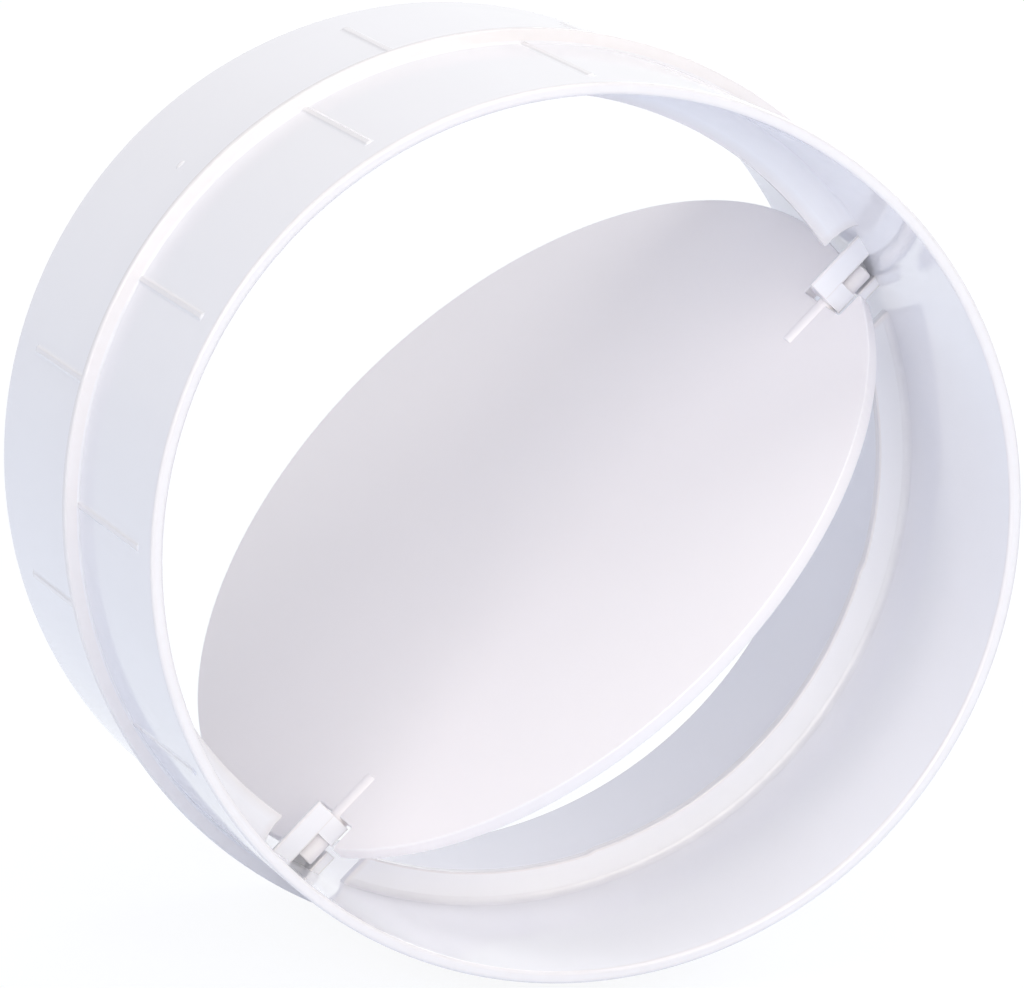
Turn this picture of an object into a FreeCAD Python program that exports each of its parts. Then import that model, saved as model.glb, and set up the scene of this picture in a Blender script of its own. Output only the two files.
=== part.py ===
"""Duct backdraft damper: a round plastic housing with two spigots and an off-centre swinging flap."""
import FreeCAD
import Part
import math
import os
import Sketcher

# Driving sizes in millimetres and degrees. The duct axis is z, with the rear rim at z = 0.
# The hinge line runs along y, on the side of the positive x axis.
SIZES = {
    "spigot_radius": 74.5,
    "wall_thickness": 2.05,
    "body_length": 90.0,
    "rim_round": 0.6,
    "flange_height": 2.55,
    "flange_thickness": 1.7,
    "flange_position": 46.0,
    "flange_fillet": 0.4,
    "flange_edge_round": 0.5,
    "rib_height": 0.3,
    "rib_width": 1.0,
    "front_rib_count": 12,
    "rear_rib_count": 11,
    "rib_root": 0.8,
    "front_rib_margin": 7.0,
    "rear_rib_margin": 11.5,
    "front_rib_turn": 15.0,
    "front_rib_sweep": 360.0,
    "rear_rib_turn": 210.0,
    "rear_rib_sweep": 300.0,
    "hinge_offset": 19.8,
    "hinge_height": 45.3,
    "flap_gap": 3.15,
    "flap_thickness": 2.5,
    "flap_edge_chamfer": 0.25,
    "seat_clearance": 0.3,
    "seat_width": 5.85,
    "seat_relief": 0.35,
    "seat_lip_half_angle": 30.0,
    "web_thickness": 2.0,
    "web_end_gap": 9.0,
    "seat_fillet": 1.2,
    "stop_blend_rise": 5.0,
    "pin_radius": 1.8,
    "pin_clearance": 0.08,
    "pin_end_gap": 1.4,
    "pin_root": 8.7,
    "notch_half_width": 6.15,
    "notch_end_gap": 0.5,
    "bracket_reach": 10.0,
    "arm_side": 6.0,
    "arm_gap": 0.2,
    "arm_top": 3.1,
    "arm_bottom": 1.3,
    "arm_edge": 0.7,
    "arm_undercut": 2.2,
    "hook_length": 4.0,
    "hook_side": 1.25,
    "finger_gap": 0.3,
    "finger_length": 3.6,
    "finger_side": 3.6,
    "finger_drop": 3.4,
    "guard_reach": 5.1,
    "guard_side": 3.7,
    "guard_thickness": 1.1,
    "guard_drop": 1.6,
    "guard_height": 5.0,
    "open_angle": 78.0,
    "roll_angle": 45.0,
}
SHEET_NAME = "sizes"
FULL_TURN = 360.0
QUARTER_TURN = 90.0
HALF = 0.5
DOUBLE = 2.0
ORIGIN_INDEX = -1
X_AXIS_INDEX = -1
Y_AXIS_INDEX = -2
START_INDEX = 1
END_INDEX = 2
FLAP_NODE = "flap"
HOUSING_NODE = "housing"


class Dim:
    """A length known both as a number and as the sheet formula that gives it."""

    def __init__(self, value, text):
        self.value = value
        self.text = text

    def __add__(self, other):
        return Dim(self.value + other.value, "(%s + %s)" % (self.text, other.text))

    def __sub__(self, other):
        return Dim(self.value - other.value, "(%s - %s)" % (self.text, other.text))

    def __mul__(self, other):
        return Dim(self.value * other.value, "(%s * %s)" % (self.text, other.text))

    def __truediv__(self, other):
        return Dim(self.value / other.value, "(%s / %s)" % (self.text, other.text))

    def __neg__(self):
        return Dim(-self.value, "(0 - %s)" % self.text)


def number(value):
    """A plain factor used inside a formula."""
    return Dim(value, repr(value))


def root(dim):
    """The square root of a formula."""
    return Dim(math.sqrt(dim.value), "sqrt(%s)" % dim.text)


ZERO = Dim(0.0, "0")
HALF_OF = number(HALF)
TWICE = number(DOUBLE)

doc = FreeCAD.newDocument("damper")
sheet = doc.addObject("Spreadsheet::Sheet", SHEET_NAME)
for row, (alias, size) in enumerate(SIZES.items(), start=1):
    sheet.set("A%d" % row, alias)
    sheet.set("B%d" % row, str(size))
    sheet.setAlias("B%d" % row, alias)
doc.recompute()


def dim(alias):
    """The sheet value with this name."""
    return Dim(float(sheet.get(alias)), "%s.%s" % (SHEET_NAME, alias))


def place(item, x, y, z):
    """Binds the position of a primitive to three formulas."""
    item.setExpression("Placement.Base.x", x.text)
    item.setExpression("Placement.Base.y", y.text)
    item.setExpression("Placement.Base.z", z.text)


def block(name, low, high):
    """A box between two corners, each given as three formulas."""
    box = doc.addObject("Part::Box", name)
    box.setExpression("Length", (high[0] - low[0]).text)
    box.setExpression("Width", (high[1] - low[1]).text)
    box.setExpression("Height", (high[2] - low[2]).text)
    place(box, low[0], low[1], low[2])
    return box


def rod(name, radius, start, length):
    """A cylinder along y that starts at a point given as three formulas."""
    cylinder = doc.addObject("Part::Cylinder", name)
    cylinder.setExpression("Radius", radius.text)
    cylinder.setExpression("Height", length.text)
    cylinder.Placement.Rotation = FreeCAD.Rotation(FreeCAD.Vector(1, 0, 0), -QUARTER_TURN)
    place(cylinder, start[0], start[1], start[2])
    return cylinder


def fused(name, items):
    """The union of several shapes as one object."""
    union = doc.addObject("Part::MultiFuse", name)
    union.Shapes = items
    union.Refine = True
    return union


def cut(name, base, tool):
    """The first shape without the second."""
    result = doc.addObject("Part::Cut", name)
    result.Base = base
    result.Tool = tool
    result.Refine = True
    return result


def common(name, first, second):
    """The part that two shapes share."""
    result = doc.addObject("Part::Common", name)
    result.Base = first
    result.Tool = second
    result.Refine = True
    return result


def mirrored(name, source):
    """The reflection of a shape in the plane y = 0."""
    copy = doc.addObject("Part::Mirroring", name)
    copy.Source = source
    copy.Normal = FreeCAD.Vector(0, 1, 0)
    return copy


def plane_of(body, role):
    """The body's own base plane with this role."""
    for feature in body.Origin.OriginFeatures:
        if feature.Role == role:
            return feature
    return None


def arc_centre(start, end, radius, turn_left):
    """The centre of the short arc of a given radius from start to end that turns left or right."""
    chord = end - start
    normal = FreeCAD.Vector(-chord.y, chord.x, 0).normalize()
    rise = math.sqrt(radius * radius - (chord.Length * HALF) ** 2)
    if not turn_left:
        normal = -normal
    return (start + end) * HALF + normal * rise


def profile(body, name, corners, turn=ZERO):
    """A closed sketch on the body's upright plane.

    Each corner is (x, y, bend): bend is None for a straight side to the next corner, or a radius
    and whether the side turns left.
    """
    sketch = body.newObject("Sketcher::SketchObject", name)
    sketch.AttachmentSupport = [(plane_of(body, "XZ_Plane"), "")]
    sketch.MapMode = "FlatFace"
    if turn.value:
        spin = FreeCAD.Rotation(FreeCAD.Vector(0, 1, 0), turn.value)
        sketch.AttachmentOffset = FreeCAD.Placement(FreeCAD.Vector(), spin)
        sketch.setExpression("AttachmentOffset.Rotation.Angle", turn.text)
    points = [FreeCAD.Vector(x.value, y.value, 0) for x, y, bend in corners]
    count = len(points)
    ends = []
    for index, (x, y, bend) in enumerate(corners):
        start = points[index]
        end = points[(index + 1) % count]
        if bend is None:
            side = sketch.addGeometry(Part.LineSegment(start, end), False)
            ends.append((side, START_INDEX, END_INDEX))
            continue
        radius, turn_left = bend
        centre = arc_centre(start, end, radius.value, turn_left)
        circle = Part.Circle(centre, FreeCAD.Vector(0, 0, 1), radius.value)
        first = math.atan2(start.y - centre.y, start.x - centre.x)
        last = math.atan2(end.y - centre.y, end.x - centre.x)
        if turn_left:
            side = sketch.addGeometry(Part.ArcOfCircle(circle, first, last), False)
            ends.append((side, START_INDEX, END_INDEX))
        else:
            side = sketch.addGeometry(Part.ArcOfCircle(circle, last, first), False)
            ends.append((side, END_INDEX, START_INDEX))
    for index in range(count):
        side, head, tail = ends[index]
        following = ends[(index + 1) % count]
        sketch.addConstraint(Sketcher.Constraint("Coincident", side, tail, following[0], following[1]))
    for index, (x, y, bend) in enumerate(corners):
        side, head, tail = ends[index]
        for kind, axis, value in (("DistanceX", Y_AXIS_INDEX, x), ("DistanceY", X_AXIS_INDEX, y)):
            if value is ZERO:
                sketch.addConstraint(Sketcher.Constraint("PointOnObject", side, head, axis))
                continue
            rule = Sketcher.Constraint(kind, ORIGIN_INDEX, START_INDEX, side, head, value.value)
            key = sketch.addConstraint(rule)
            sketch.setExpression("Constraints[%d]" % key, value.text)
        if bend is not None:
            key = sketch.addConstraint(Sketcher.Constraint("Radius", side, bend[0].value))
            sketch.setExpression("Constraints[%d]" % key, bend[0].text)
    return sketch


def revolved(body, name, sketch):
    """A full turn of a sketch about the duct axis."""
    feature = body.newObject("PartDesign::Revolution", name)
    feature.Profile = sketch
    feature.ReferenceAxis = (sketch, ["V_Axis"])
    feature.Angle = FULL_TURN
    return feature


def rib_ring(body, name, low, high, end):
    """A ring of thin ribs that stand on the outside of one end of the tube from low to high."""
    inner = dim("spigot_radius") - dim("rib_root")
    outer = dim("spigot_radius") + dim("rib_height")
    corners = [(inner, low, None), (outer, low, None), (outer, high, None), (inner, high, None)]
    sketch = profile(body, name + "_sketch", corners, dim(end + "_rib_turn"))
    pad = body.newObject("PartDesign::Pad", name + "_rib")
    pad.Profile = sketch
    pad.Midplane = True
    pad.setExpression("Length", dim("rib_width").text)
    ring = body.newObject("PartDesign::PolarPattern", name)
    ring.Originals = [pad]
    ring.Axis = (sketch, ["V_Axis"])
    ring.setExpression("Angle", dim(end + "_rib_sweep").text)
    ring.setExpression("Occurrences", dim(end + "_rib_count").text)
    body.Tip = ring
    return ring


# Shared positions
bore_radius = dim("spigot_radius") - dim("wall_thickness")
mid_wall = bore_radius + dim("wall_thickness") * HALF_OF
flange_radius = dim("spigot_radius") + dim("flange_height")
flange_front = dim("flange_position") + dim("flange_thickness")
rim = dim("rim_round")
edge = dim("flange_edge_round")
fillet = dim("flange_fillet")
length = dim("body_length")
half_flap = dim("flap_thickness") * HALF_OF
seat_height = dim("hinge_height") - half_flap - dim("seat_clearance")
stop_height = dim("hinge_height") + half_flap + dim("seat_clearance")
hinge_x = dim("hinge_offset")
hinge_z = dim("hinge_height")
bearing_radius = dim("pin_radius") + dim("pin_clearance")
seat_radius = bore_radius - dim("seat_width")
flap_radius = bore_radius - dim("flap_gap")
hinge_wall = root(bore_radius * bore_radius - hinge_x * hinge_x)
bracket_in = hinge_wall - dim("bracket_reach")
notch_in = bracket_in - dim("notch_end_gap")
pin_in = notch_in - dim("pin_root")
pin_out = hinge_wall - dim("pin_end_gap")

# Tube with rounded rims and a thin stop flange
shell = doc.addObject("PartDesign::Body", "shell")
spigot = dim("spigot_radius")
flange_rear = dim("flange_position")
shell_corners = [
    (bore_radius, rim, None),
    (bore_radius, length - rim, (rim, False)),
    (bore_radius + rim, length, None),
    (spigot - rim, length, (rim, False)),
    (spigot, length - rim, None),
    (spigot, flange_front + fillet, (fillet, True)),
    (spigot + fillet, flange_front, None),
    (flange_radius - edge, flange_front, (edge, False)),
    (flange_radius, flange_front - edge, None),
    (flange_radius, flange_rear + edge, (edge, False)),
    (flange_radius - edge, flange_rear, None),
    (spigot + fillet, flange_rear, (fillet, True)),
    (spigot, flange_rear - fillet, None),
    (spigot, rim, (rim, False)),
    (spigot - rim, ZERO, None),
    (bore_radius + rim, ZERO, (rim, False)),
]
revolved(shell, "tube", profile(shell, "shell_profile", shell_corners))
doc.recompute()
mid_flange = flange_rear + dim("flange_thickness") * HALF_OF
# The rear ring leaves out the rib where the moulding was filled
rib_ring(shell, "rear_ribs", dim("rear_rib_margin"), mid_flange, "rear")
rib_ring(shell, "front_ribs", mid_flange, length - dim("front_rib_margin"), "front")
doc.recompute()

# Seat web that the short side of the flap closes on, on the hinge's own side
relieved = seat_radius + dim("seat_relief")
seat_rear = seat_height - dim("web_thickness")
corner = dim("seat_fillet")
seat_ring = doc.addObject("PartDesign::Body", "seat_ring")
seat_corners = [
    (relieved, seat_rear, None),
    (mid_wall, seat_rear, None),
    (mid_wall, seat_height + corner, None),
    (bore_radius, seat_height + corner, (corner, False)),
    (bore_radius - corner, seat_height, None),
    (relieved, seat_height, None),
]
revolved(seat_ring, "seat_turn", profile(seat_ring, "seat_profile", seat_corners))
lip_ring = doc.addObject("PartDesign::Body", "lip_ring")
lip_corners = [
    (seat_radius, seat_rear, None),
    (bore_radius - corner, seat_rear, None),
    (bore_radius - corner, seat_height, None),
    (seat_radius, seat_height, None),
]
lip_turn = revolved(lip_ring, "lip_turn", profile(lip_ring, "lip_profile", lip_corners))
lip_turn.Midplane = True
lip_turn.setExpression("Angle", (dim("seat_lip_half_angle") * TWICE).text)
seat_side = block(
    "seat_side",
    (hinge_x + dim("web_end_gap"), -dim("spigot_radius"), ZERO),
    (dim("spigot_radius"), dim("spigot_radius"), length),
)
seat_web = common("seat_web", seat_ring, seat_side)

# Stop web in front of the long side of the flap, run out into the front wall
span = bore_radius - seat_radius
rise = dim("stop_blend_rise")
blend_radius = (span * span + rise * rise) / (TWICE * span)
stop_front = stop_height + dim("web_thickness")
stop_ring = doc.addObject("PartDesign::Body", "stop_ring")
stop_corners = [
    (seat_radius, stop_height, None),
    (mid_wall, stop_height, None),
    (mid_wall, stop_front + rise, None),
    (bore_radius, stop_front + rise, (blend_radius, False)),
    (seat_radius, stop_front, None),
]
revolved(stop_ring, "stop_turn", profile(stop_ring, "stop_profile", stop_corners))
stop_side = block(
    "stop_side",
    (-dim("spigot_radius"), -dim("spigot_radius"), ZERO),
    (hinge_x - dim("web_end_gap"), dim("spigot_radius"), length),
)
stop_web = common("stop_web", stop_ring, stop_side)

# Hinge bracket: an arm beside the pin with a slanting underside, a hook over the pin and a finger under it
arm_left = hinge_x - dim("arm_side")
arm_right = hinge_x - bearing_radius - dim("arm_gap")
arm_foot = arm_left + dim("arm_undercut")
arm_root = root(mid_wall * mid_wall - arm_left * arm_left)
arm_low = hinge_z - dim("arm_bottom")
arm_high = hinge_z + dim("arm_top")
arm_rim = arm_high - dim("arm_edge")
arm_plate = block("arm_plate", (arm_left, bracket_in, arm_rim), (arm_right, arm_root, arm_high))
arm_flank = doc.addObject("Part::Wedge", "arm_flank")
for side, value in (
    ("Xmin", arm_foot),
    ("Xmax", arm_right),
    ("X2min", arm_left),
    ("X2max", arm_right),
    ("Ymin", arm_low),
    ("Ymax", arm_rim),
    ("Zmin", -arm_root),
    ("Zmax", -bracket_in),
    ("Z2min", -arm_root),
    ("Z2max", -bracket_in),
):
    arm_flank.setExpression(side, value.text)
arm_flank.Placement.Rotation = FreeCAD.Rotation(FreeCAD.Vector(1, 0, 0), QUARTER_TURN)
hook_out = bracket_in + dim("hook_length")
hook = block("hook", (arm_foot, bracket_in, hinge_z), (hinge_x + dim("hook_side"), hook_out, arm_high))
finger_in = hook_out + dim("finger_gap")
finger = block(
    "finger",
    (hinge_x - dim("finger_side"), finger_in, hinge_z - dim("finger_drop")),
    (hinge_x + dim("hook_side"), finger_in + dim("finger_length"), hinge_z),
)
bracket_blank = fused("bracket_blank", [arm_plate, arm_flank, hook, finger])
bearing = rod("bearing", bearing_radius, (hinge_x, notch_in, hinge_z), arm_root - notch_in)
bracket = cut("bracket", bracket_blank, bearing)
guard_left = hinge_x + dim("guard_side")
guard_right = guard_left + dim("guard_thickness")
guard_root = root(mid_wall * mid_wall - guard_right * guard_right)
guard_top = hinge_z - dim("guard_drop")
guard = block(
    "guard",
    (guard_left, hinge_wall - dim("guard_reach"), guard_top - dim("guard_height")),
    (guard_right, guard_root, guard_top),
)
housing = fused(
    HOUSING_NODE,
    [
        shell,
        seat_web,
        lip_ring,
        stop_web,
        bracket,
        mirrored("bracket_mirror", bracket),
        guard,
        mirrored("guard_mirror", guard),
    ],
)

# Flap, drawn closed about its own centre with the hinge line at x = hinge_offset
disc = doc.addObject("PartDesign::Body", "disc")
flap_edge = dim("flap_edge_chamfer")
disc_corners = [
    (ZERO, -half_flap, None),
    (flap_radius - flap_edge, -half_flap, None),
    (flap_radius, flap_edge - half_flap, None),
    (flap_radius, half_flap - flap_edge, None),
    (flap_radius - flap_edge, half_flap, None),
    (ZERO, half_flap, None),
]
revolved(disc, "disc_turn", profile(disc, "disc_profile", disc_corners))
notch_side = dim("notch_half_width")
notch = block(
    "notch",
    (hinge_x - notch_side, notch_in, -dim("pin_radius")),
    (hinge_x + notch_side, dim("spigot_radius"), dim("pin_radius")),
)
notches = fused("notches", [notch, mirrored("notch_mirror", notch)])
blade = cut("blade", disc, notches)
pin = rod("pin", dim("pin_radius"), (hinge_x, pin_in, ZERO), pin_out - pin_in)
flap = fused(FLAP_NODE, [blade, pin, mirrored("pin_mirror", pin)])
doc.recompute()

# Rest pose: the duct axis lies level with the front rim towards -y and the origin where the straight
# wall of the rear spigot begins, the hinge line is rolled up to one side, and the flap stands open
roll = math.radians(dim("roll_angle").value)
across = FreeCAD.Vector(math.sin(roll), 0, -math.cos(roll))
along = FreeCAD.Vector(math.cos(roll), 0, math.sin(roll))
front = FreeCAD.Vector(0, -1, 0)
turned = FreeCAD.Rotation(across, along, front, "ZXY")
lying = FreeCAD.Placement(FreeCAD.Vector(0, rim.value, 0), turned)
hinge_point = FreeCAD.Vector(hinge_x.value, 0, hinge_z.value)
to_hinge = FreeCAD.Placement(hinge_point, FreeCAD.Rotation())
swing = FreeCAD.Placement(
    FreeCAD.Vector(), FreeCAD.Rotation(FreeCAD.Vector(0, -1, 0), dim("open_angle").value)
)
from_centre = FreeCAD.Placement(FreeCAD.Vector(-hinge_x.value, 0, 0), FreeCAD.Rotation())

NODES = {HOUSING_NODE: (housing, lying), FLAP_NODE: (flap, lying * to_hinge * swing * from_centre)}
for name, (item, placement) in NODES.items():
    item.Label = name
    item.Placement = placement
doc.recompute()

bad = []
for item in doc.Objects:
    state = [word for word in item.State if word in ("Invalid", "Error")]
    if state:
        bad.append("%s %s" % (item.Label, state))
for name, (item, placement) in NODES.items():
    if item.Shape.isNull() or not item.Shape.isValid() or len(item.Shape.Solids) != 1:
        bad.append("%s shape" % name)
if bad:
    raise RuntimeError("; ".join(bad))

os.makedirs("parts", exist_ok=True)
for name, (item, placement) in NODES.items():
    item.Shape.exportStep("parts/%s.step" % name)
    box = item.Shape.BoundBox
    print(name, "solids", len(item.Shape.Solids), "volume", round(item.Shape.Volume, 1))
    print("  low", [round(value, 2) for value in (box.XMin, box.YMin, box.ZMin)])
    print("  high", [round(value, 2) for value in (box.XMax, box.YMax, box.ZMax)])
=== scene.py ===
"""Looks of a duct backdraft damper: a glossy white moulded housing and the satin flap that swings in it."""
import logging
import math
from dataclasses import dataclass, field
from enum import Enum

import bpy
import numpy as np
from mathutils import Matrix


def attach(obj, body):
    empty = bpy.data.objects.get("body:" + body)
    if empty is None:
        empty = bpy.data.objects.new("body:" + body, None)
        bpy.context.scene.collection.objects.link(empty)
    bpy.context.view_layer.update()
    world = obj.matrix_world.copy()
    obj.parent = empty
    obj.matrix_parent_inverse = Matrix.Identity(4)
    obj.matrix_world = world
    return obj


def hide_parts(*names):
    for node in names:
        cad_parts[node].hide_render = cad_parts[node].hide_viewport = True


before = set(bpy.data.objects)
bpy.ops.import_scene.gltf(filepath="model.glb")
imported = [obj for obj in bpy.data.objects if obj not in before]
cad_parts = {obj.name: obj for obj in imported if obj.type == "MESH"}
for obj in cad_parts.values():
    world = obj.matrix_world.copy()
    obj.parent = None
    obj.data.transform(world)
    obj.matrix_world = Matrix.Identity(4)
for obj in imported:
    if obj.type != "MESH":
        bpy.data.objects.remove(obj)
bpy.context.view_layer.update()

LOG = logging.getLogger("damper")
MM = 0.001
TINY = 1e-6
CORNER_STEPS = 6
EDGE_STEPS = 5
# A short step in a flat beside a round keeps the flat's shading flat.
FLAT_STEP = 0.05
FLOAT = "NodeSocketFloat"
COLOR = "NodeSocketColor"
WHITE = (1.0, 1.0, 1.0, 1.0)
Socket = bpy.types.NodeSocket
Triple = tuple[float, float, float]
Colour = tuple[float, float, float, float]
ArrayPair = tuple[np.ndarray, np.ndarray]
MaskedPoints = tuple[np.ndarray, float | np.ndarray]


class Body(Enum):
    """The rigid bodies that pieces ride on."""

    HOUSING = "housing"
    FLAP = "flap"


class Slot(Enum):
    """The material slots of the record."""

    HOUSING = "housing_plastic"
    FLAP = "flap_plastic"


class Mask(Enum):
    """Surface masks kept as point attributes: the edge mask places painted light and smoother gloss on edges,
    the crease mask painted shade in the corners.
    """

    EDGE = "edge_mask"
    CREASE = "crease_mask"


def smoothstep(value: np.ndarray) -> np.ndarray:
    """The cubic 3t^2 - 2t^3 of a value held between 0 and 1.

    Args:
        value: any array.

    Returns:
        The eased array, of the same shape.
    """
    t = np.clip(value, 0.0, 1.0)
    return t * t * (3.0 - 2.0 * t)


def arc(centre: tuple[float, float], radius: float, start: float, end: float, count: int = 8) -> np.ndarray:
    """Points on a circle: centre + radius * (cos a, sin a), with a going evenly from start to end.

    Args:
        centre: the circle's middle.
        radius: its radius.
        start: first angle in degrees.
        end: last angle in degrees.
        count: number of points.

    Returns:
        An array of count plane points.
    """
    turn = np.radians(np.linspace(start, end, count))
    return np.stack([centre[0] + radius * np.cos(turn), centre[1] + radius * np.sin(turn)], axis=1)


def run(start: tuple[float, float], end: tuple[float, float], count: int = 2) -> np.ndarray:
    """Evenly spaced points on the straight line from start to end.

    Args:
        start: first plane point.
        end: last plane point.
        count: number of points.

    Returns:
        An array of count plane points.
    """
    return np.linspace(np.asarray(start, float), np.asarray(end, float), count)


def rounded_chain(points: np.ndarray, radius: float | np.ndarray, margin: float = 0.1) -> ArrayPair:
    """Rounds every inner corner of an open chain with a tangent arc and keeps a short flat beside each arc.

    The arc's centre lies on the corner's bisector, radius / sin(half angle) away, and the arc's points are
    the spherical blend of the two spokes from the centre to its ends.

    Args:
        points: plane points, of which the first and last only give directions.
        radius: the rounds' radius, or one for each inner corner.
        margin: length of the flat kept beside each arc.

    Returns:
        The rounded points, and for each a mask: 1 on a corner that turns left, as those that stand out of an
        anticlockwise outline do, and -1 on one that turns right.
    """
    corner = points[1:-1]
    back = points[:-2] - corner
    ahead = points[2:] - corner
    back = back / np.linalg.norm(back, axis=1, keepdims=True)
    ahead = ahead / np.linalg.norm(ahead, axis=1, keepdims=True)
    angle = np.arccos(np.clip((back * ahead).sum(axis=1), -1.0, 1.0))
    reach = (radius / np.tan(angle / 2.0))[:, None]
    bisector = back + ahead
    bisector = bisector / np.linalg.norm(bisector, axis=1, keepdims=True)
    centre = corner + bisector * (radius / np.sin(angle / 2.0))[:, None]
    first = corner + back * reach - centre
    last = corner + ahead * reach - centre
    sweep = (math.pi - angle)[:, None, None]
    t = np.linspace(0.0, 1.0, CORNER_STEPS)[None, :, None]
    blend = (first[:, None] * np.sin((1.0 - t) * sweep) + last[:, None] * np.sin(t * sweep)) / np.sin(sweep)
    lead = corner + back * (reach + margin)
    tail = corner + ahead * (reach + margin)
    chain = np.concatenate([lead[:, None], centre[:, None] + blend, tail[:, None]], axis=1)
    mask = np.zeros(chain.shape[:2])
    mask[:, 1:-1] = np.sign(ahead[:, 0] * back[:, 1] - ahead[:, 1] * back[:, 0])[:, None]
    return chain.reshape(-1, 2), mask.reshape(-1)


def rounded_loop(points: np.ndarray, radius: float) -> ArrayPair:
    """Rounds every corner of a closed outline and gives its mask, as rounded_chain does."""
    return rounded_chain(np.concatenate([points[-1:], points, points[:1]]), radius)


def joined(parts: list[MaskedPoints]) -> ArrayPair:
    """One outline from pieces that each carry a mask.

    Args:
        parts: plane points of each piece with its mask, one value or one for each point.

    Returns:
        All the points in order and their masks.
    """
    masks = [np.broadcast_to(mask, len(points)) for points, mask in parts]
    return np.concatenate([points for points, mask in parts]), np.concatenate(masks)


def rectangle(left: float, right: float, low: float, high: float) -> np.ndarray:
    """The corners of an upright rectangle, anticlockwise from its lower left."""
    return np.array([[left, low], [right, low], [right, high], [left, high]])


def outline_normals(outline: np.ndarray) -> np.ndarray:
    """Unit normals of an anticlockwise outline, pointing out: the neighbours' chord turned clockwise.

    Args:
        outline: closed plane points.

    Returns:
        One unit normal for each point.
    """
    chord = np.roll(outline, -1, axis=0) - np.roll(outline, 1, axis=0)
    normal = np.stack([chord[:, 1], -chord[:, 0]], axis=1)
    return normal / np.linalg.norm(normal, axis=1, keepdims=True)


def grid_quads(rows: int, columns: int, close_rows: bool) -> np.ndarray:
    """The four corner numbers of every cell of a grid of points stored row by row, each row a closed ring.

    Args:
        rows: number of rows.
        columns: number of columns.
        close_rows: whether the last row joins the first.

    Returns:
        An array of four indices for each cell.
    """
    starts = np.arange(rows if close_rows else rows - 1)
    row, column = np.meshgrid(starts, np.arange(columns), indexing="ij")
    below = (row + 1) % rows
    beside = (column + 1) % columns
    near, far = row * columns, below * columns
    return np.stack([near + column, far + column, far + beside, near + beside], axis=-1).reshape(-1, 4)


@dataclass
class Patch:
    """A closed surface of points, quads and many-cornered caps, with a mask: 1 on edges, -1 in creases."""

    points: np.ndarray
    quads: np.ndarray
    edge: np.ndarray
    caps: list[np.ndarray] = field(default_factory=list)

    def volume(self) -> float:
        """A sixth of the triple products of all triangles, fanned from each face's first point.

        Returns:
            The volume, below 0 when the faces point in.
        """
        tris = [self.quads[:, [0, 1, 2]], self.quads[:, [0, 2, 3]]]
        for cap in self.caps:
            tris.append(np.stack([np.full(len(cap) - 2, cap[0]), cap[1:-1], cap[2:]], axis=1))
        a, b, c = (self.points[np.concatenate(tris)[:, k]] for k in range(3))
        return float((a * np.cross(b, c)).sum() / 6.0)

    def outward(self) -> "Patch":
        """The same surface with every face pointing out.

        Returns:
            This patch, or one with its faces turned round.
        """
        if self.volume() >= 0.0:
            return self
        return Patch(self.points, self.quads[:, ::-1], self.edge, [cap[::-1] for cap in self.caps])

    def moved(self, points: np.ndarray) -> "Patch":
        """The same faces on other points, pointing out again."""
        return Patch(points, self.quads, self.edge, self.caps).outward()

    def mirrored(self) -> "Patch":
        """The reflection in the plane y = 0."""
        return self.moved(self.points * np.array([1.0, -1.0, 1.0]))

    def laid(self) -> "Patch":
        """The surface laid along y: its plane becomes (x, z) and its height becomes y."""
        return self.moved(self.points[:, [0, 2, 1]])


def capped(points: np.ndarray, edge: np.ndarray) -> Patch:
    """A closed surface from a grid of points whose rows are rings, with a cap on the first ring and the last.

    Args:
        points: the grid, as rows, columns and coordinates.
        edge: its mask, as rows and columns.

    Returns:
        The patch, facing out.
    """
    rows, columns = edge.shape
    ring = np.arange(columns)
    caps = [ring, (rows - 1) * columns + ring[::-1]]
    return Patch(points.reshape(-1, 3), grid_quads(rows, columns, False), edge.reshape(-1), caps).outward()


def rounded_rows(low: float, high: float, round_low: float, round_high: float) -> ArrayPair:
    """Heights and insets of the rows that take an outline from one rounded end to the other.

    At each end the row turns through a quarter circle: inset = r (1 - sin t), height = end +- r (1 - cos t).

    Args:
        low: first height.
        high: last height.
        round_low: radius of the round at the low end.
        round_high: radius of the round at the high end.

    Returns:
        The heights and the insets, each an array of one value for each row.
    """
    t = np.linspace(0.0, math.pi / 2.0, EDGE_STEPS)
    along, inward = 1.0 - np.cos(t), 1.0 - np.sin(t)
    heights = np.concatenate([low + round_low * along, high - round_high * along[::-1]])
    return heights, np.concatenate([round_low * inward, round_high * inward[::-1]])


def prism(
    outline: np.ndarray,
    mask: float | np.ndarray,
    low: float,
    high: float,
    round_low: float,
    round_high: float,
) -> Patch:
    """An outline carried straight up from low to high with rounded ends.

    Point (row, column) is outline - inset(row) * normal(column), at height(row). A last row at each end
    lies in the flat a little further in, so that the flats shade flat.

    Args:
        outline: anticlockwise plane points.
        mask: the outline's edge mask, one value or one for each point.
        low: first height.
        high: last height.
        round_low: radius of the round at the low end.
        round_high: radius of the round at the high end.

    Returns:
        The closed patch, in the outline's plane and its height.
    """
    heights, insets = rounded_rows(low, high, round_low, round_high)
    heights = np.concatenate([[low], heights, [high]])
    insets = np.concatenate([[insets[0] + FLAT_STEP], insets, [insets[-1] + FLAT_STEP]])
    plane = outline[None] - insets[:, None, None] * outline_normals(outline)[None]
    tall = np.broadcast_to(heights[:, None, None], (len(heights), len(outline), 1))
    half = len(heights) // 2
    ends = np.ones((len(heights), 1))
    ends[[0, half - 1, half, -1]] = 0.0
    edge = np.maximum(np.broadcast_to(mask, plane.shape[:2]), ends)
    return capped(np.concatenate([plane, tall], axis=2), edge)


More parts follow.
